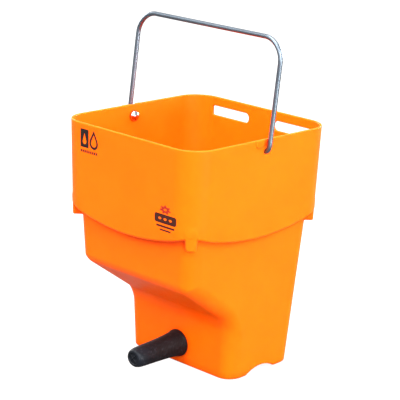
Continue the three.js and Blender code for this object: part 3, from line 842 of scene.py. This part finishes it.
def toothed_nut(name, place):
    """A dished washer whose inner edge is cut into teeth that bend up against the rod."""
    segments = NUT_TEETH * NUT_STEPS
    bm = bmesh.new()
    rings = []
    for share in np.linspace(0, 1, 7):
        ring = []
        for lift in (0, NUT_SHEET):
            row = []
            for i in range(segments):
                phase = (i % NUT_STEPS) / NUT_STEPS
                tooth = NUT_GAP_PHASES[0] <= phase <= NUT_GAP_PHASES[1]
                inner = NUT_BITE_R if tooth else NUT_GAP_R
                r = inner + (NUT_R - inner) * share
                dish = DISH_HEIGHT * np.clip((DISH_R - r) / DISH_WIDTH, 0, 1)
                a = 2 * math.pi * i / segments
                row.append(bm.verts.new((r * math.cos(a), r * math.sin(a), NUT_BASE + dish + lift)))
            ring.append(row)
        rings.append(ring)
    for i in range(segments):
        j = (i + 1) % segments
        for a, b in zip(rings, rings[1:]):
            bm.faces.new((a[1][i], b[1][i], b[1][j], a[1][j]))
            bm.faces.new((a[0][i], a[0][j], b[0][j], b[0][i]))
        bm.faces.new((rings[0][0][i], rings[0][1][i], rings[0][1][j], rings[0][0][j]))
        bm.faces.new((rings[-1][0][i], rings[-1][0][j], rings[-1][1][j], rings[-1][1][i]))
    return from_bmesh(name, bm, place)


def make_caps():
    plate = bright_plate()
    steel = spring_steel()
    for side, word in ((1, "right"), (-1, "left")):
        dome = lathe(f"dome_{word}", dome_profile(), 96, rod_end(side))
        dress(dome, plate, "bail", f"dome_cap_{word}")
        nut = toothed_nut(f"toothed_nut_{word}", rod_end(side))
        dress(nut, steel, "bail", f"push_nut_{word}")


# ------------------------------------------------------------------ printed marks

INK_BACK, INK_FRONT = 0.02, 0.14  # how far a print's two faces stand off the wall
STRIP = 1.5
TICKS, TICK_PITCH = 9, 3.5
BLOOM = (72, 243.2)
BANNER_HOLES = ((63, 231.2), (72, 231.2), (81, 231.2))


def ink_shape(name, outlines, material):
    """Ink on the front wall. Outlines are closed lists of (x, z), and one inside another is a hole."""
    curve = bpy.data.curves.new(name, "CURVE")
    curve.dimensions = "2D"
    curve.fill_mode = "BOTH"
    curve.extrude = 0.1 * MM
    for outline in outlines:
        spline = curve.splines.new("POLY")
        spline.points.add(len(outline) - 1)
        for point, (x, z) in zip(spline.points, outline):
            point.co = (x * MM, (z - RIM_Z) * MM, 0, 1)
        spline.use_cyclic_u = True
    made = put(name, curve)
    mesh = bpy.data.meshes.new_from_object(made.evaluated_get(bpy.context.evaluated_depsgraph_get()))
    bpy.data.objects.remove(made)
    cut_in_strips(mesh)
    height = np.array([INK_FRONT if v.co.z > 0 else INK_BACK for v in mesh.vertices])
    upright = Matrix.Rotation(math.radians(90) + math.atan(UPPER_DRAFT), 4, "X")
    mesh.transform(Matrix.Translation((0, -HALF_Y * MM, RIM_Z * MM)) @ upright)
    hug_wall(mesh, height)
    dress(put(name, mesh), material, "tub")


def cut_in_strips(mesh):
    """Cuts a print's long triangles across X, so that it can follow the rounded corner."""
    bm = bmesh.new()
    bm.from_mesh(mesh)
    xs = [v.co.x / MM for v in bm.verts]
    for x in np.arange(min(xs) + STRIP / 2, max(xs), STRIP):
        everything = bm.verts[:] + bm.edges[:] + bm.faces[:]
        bmesh.ops.bisect_plane(bm, geom=everything, plane_co=(x * MM, 0, 0), plane_no=(1, 0, 0))
    bmesh.ops.triangulate(bm, faces=bm.faces)
    bm.to_mesh(mesh)
    bm.free()


def hug_wall(mesh, height):
    """Moves each point of a thin print to its own height over the tub's surface."""
    points = np.array([v.co for v in mesh.vertices]) / MM
    for _ in range(3):
        gap = height - tub_distance(*points.T)
        points += gradient(tub_distance, points) * gap[:, None]
    for v, point in zip(mesh.vertices, points):
        v.co = Vector(point) * MM


def oval(x, z, rx, rz, lobes=0, depth=0.0, count=60):
    """An ellipse, or a flower when it is given lobes."""
    line = []
    for i in range(count):
        a = 2 * math.pi * i / count
        r = 1 + depth * math.cos(lobes * a)
        line.append((x + rx * r * math.sin(a), z + rz * r * math.cos(a)))
    return line


def bar(x0, z0, x1, z1, r):
    """A rectangle with rounded corners."""
    corners = ((x1 - r, z1 - r, 0), (x0 + r, z1 - r, 90), (x0 + r, z0 + r, 180), (x1 - r, z0 + r, 270))
    return [point for cx, cz, start in corners for point in arc(cx, cz, r, r, start, start + 90, 6)]


def drop(x, z, r, height, count=48):
    """A milk drop: round below, pointed above."""
    line = []
    for i in range(count):
        a = 2 * math.pi * i / count
        lift = max(0.0, math.cos(a)) ** 3
        across = r * math.sin(a) * (1 - 0.55 * lift)
        line.append((x + across, z + r * math.cos(a) + lift * (height - r)))
    return line


def make_prints():
    black = printed_ink("black_ink", (0.010, 0.006, 0.006), (0.10, 0.020, 0.005))
    brown = printed_ink("brown_ink", (0.035, 0.008, 0.005), (0.22, 0.035, 0.008))
    red = printed_ink("red_ink", (0.28, 0.018, 0.006), (0.60, 0.06, 0.008))
    ink_shape("print_block", [bar(-80.5, 291.5, -65.5, 315, 1.2), drop(-73, 299, 3.4, 11)], black)
    ink_shape("print_drop", [drop(-56, 299.3, 7.8, 16), drop(-56, 299.6, 4.9, 10.5)], black)
    for i in range(TICKS):
        left = -80 + TICK_PITCH * i
        ink_shape(f"print_tick_{i}", [bar(left, 285, left + 2.3, 288.4, 0.4)], black)
    ink_shape("print_bloom", [oval(*BLOOM, 8.0, 4.6, 7, 0.22), oval(*BLOOM, 2.6, 1.4)], red)
    holes = [oval(*place, 2.6, 1.6) for place in BANNER_HOLES]
    ink_shape("print_banner", [bar(54, 225.5, 90.5, 237, 2.8), *holes], brown)
    ink_shape("print_line_long", [bar(57, 220.4, 88, 222.9, 1.0)], brown)
    ink_shape("print_line_short", [bar(63, 216.0, 82, 218.0, 0.8)], brown)


# ------------------------------------------------------------------ floor, light and camera

FLOOR_HALF, FLOOR_DROP = 20.0, 0.0005  # metres
LIGHTS = (  # name, place, the point it faces, size (all in metres), watts
    ("key", (2.35, -1.2, 1.75), (0, 0, 0.15), (1.5, 1.5), 166),
    ("overhead", (-0.1, -0.35, 2.7), (0, 0, 0), (2.0, 2.0), 150),
    ("front_fill", (-0.2, -2.6, 2.05), (0, 0, 0.1), (1.6, 1.2), 86),
    ("left_fill", (-1.9, -1.2, 1.9), (0, 0, 0.2), (1.0, 1.0), 12),
    ("side_fill", (2.8, 0.1, 0.35), (0, 0, 0.1), (1.2, 0.6), 59),
    ("back_fill", (0.6, 2.8, 1.0), (0, 0, 0.15), (1.6, 1.0), 115),
    ("far_fill", (-2.8, 0.3, 1.0), (0, 0, 0.15), (1.4, 1.0), 56),
)
AZIMUTH, ELEVATION, ROLL = (math.radians(a) for a in (43.86, 15.89, 2.29))
CAMERA_RIGHT, CAMERA_UP, CAMERA_BACK = 3.77, -100.73, 2081.77  # from the middle of the rim
SENSOR_WIDTH, LENS = 36.0, 147.9


def make_stage():
    bm = bmesh.new()
    bmesh.ops.create_grid(bm, x_segments=8, y_segments=8, size=FLOOR_HALF)
    mesh = bpy.data.meshes.new("floor")
    bm.to_mesh(mesh)
    bm.free()
    floor = put("floor", mesh)
    floor.location.z = -FLOOR_DROP
    floor.data.materials.append(pale_floor())


def make_sky():
    """Plain white all round, behind the object and in its reflections."""
    scene = bpy.context.scene
    scene.view_settings.view_transform = "Standard"
    scene.world = bpy.data.worlds.new("studio")
    scene.world.use_nodes = True
    background = scene.world.node_tree.nodes["Background"]
    background.inputs["Color"].default_value = (1, 1, 1, 1)
    background.inputs["Strength"].default_value = 1.0


def make_lights():
    for name, place, target, size, watts in LIGHTS:
        light = bpy.data.lights.new(name, "AREA")
        light.shape = "RECTANGLE"
        light.size, light.size_y = size
        light.energy = watts
        holder = put(name, light)
        holder.location = place
        holder.rotation_euler = (Vector(target) - Vector(place)).to_track_quat("-Z", "Y").to_euler()


def make_camera():
    """The photograph's viewpoint: about 16 degrees above the horizon, 44 degrees round from the front."""
    level = Vector((math.sin(AZIMUTH), -math.cos(AZIMUTH), 0))
    back = level * math.cos(ELEVATION) + Vector((0, 0, math.sin(ELEVATION)))
    right = Vector((math.cos(AZIMUTH), math.sin(AZIMUTH), 0))
    up = back.cross(right)
    rolled_right = right * math.cos(ROLL) + up * math.sin(ROLL)
    rolled_up = up * math.cos(ROLL) - right * math.sin(ROLL)
    data = bpy.data.cameras.new("camera")
    data.sensor_width = SENSOR_WIDTH
    data.lens = LENS
    place = rolled_right * CAMERA_RIGHT + rolled_up * CAMERA_UP + back * CAMERA_BACK + Vector((0, 0, RIM_Z))
    turn = Matrix((rolled_right, rolled_up, back)).transposed()
    camera = put("camera", data)
    camera.matrix_world = Matrix.Translation(place * MM) @ turn.to_4x4()
    bpy.context.scene.camera = camera


make_tub()
make_teat()
make_rod()
make_caps()
make_prints()
make_stage()
make_sky()
make_lights()
make_camera()
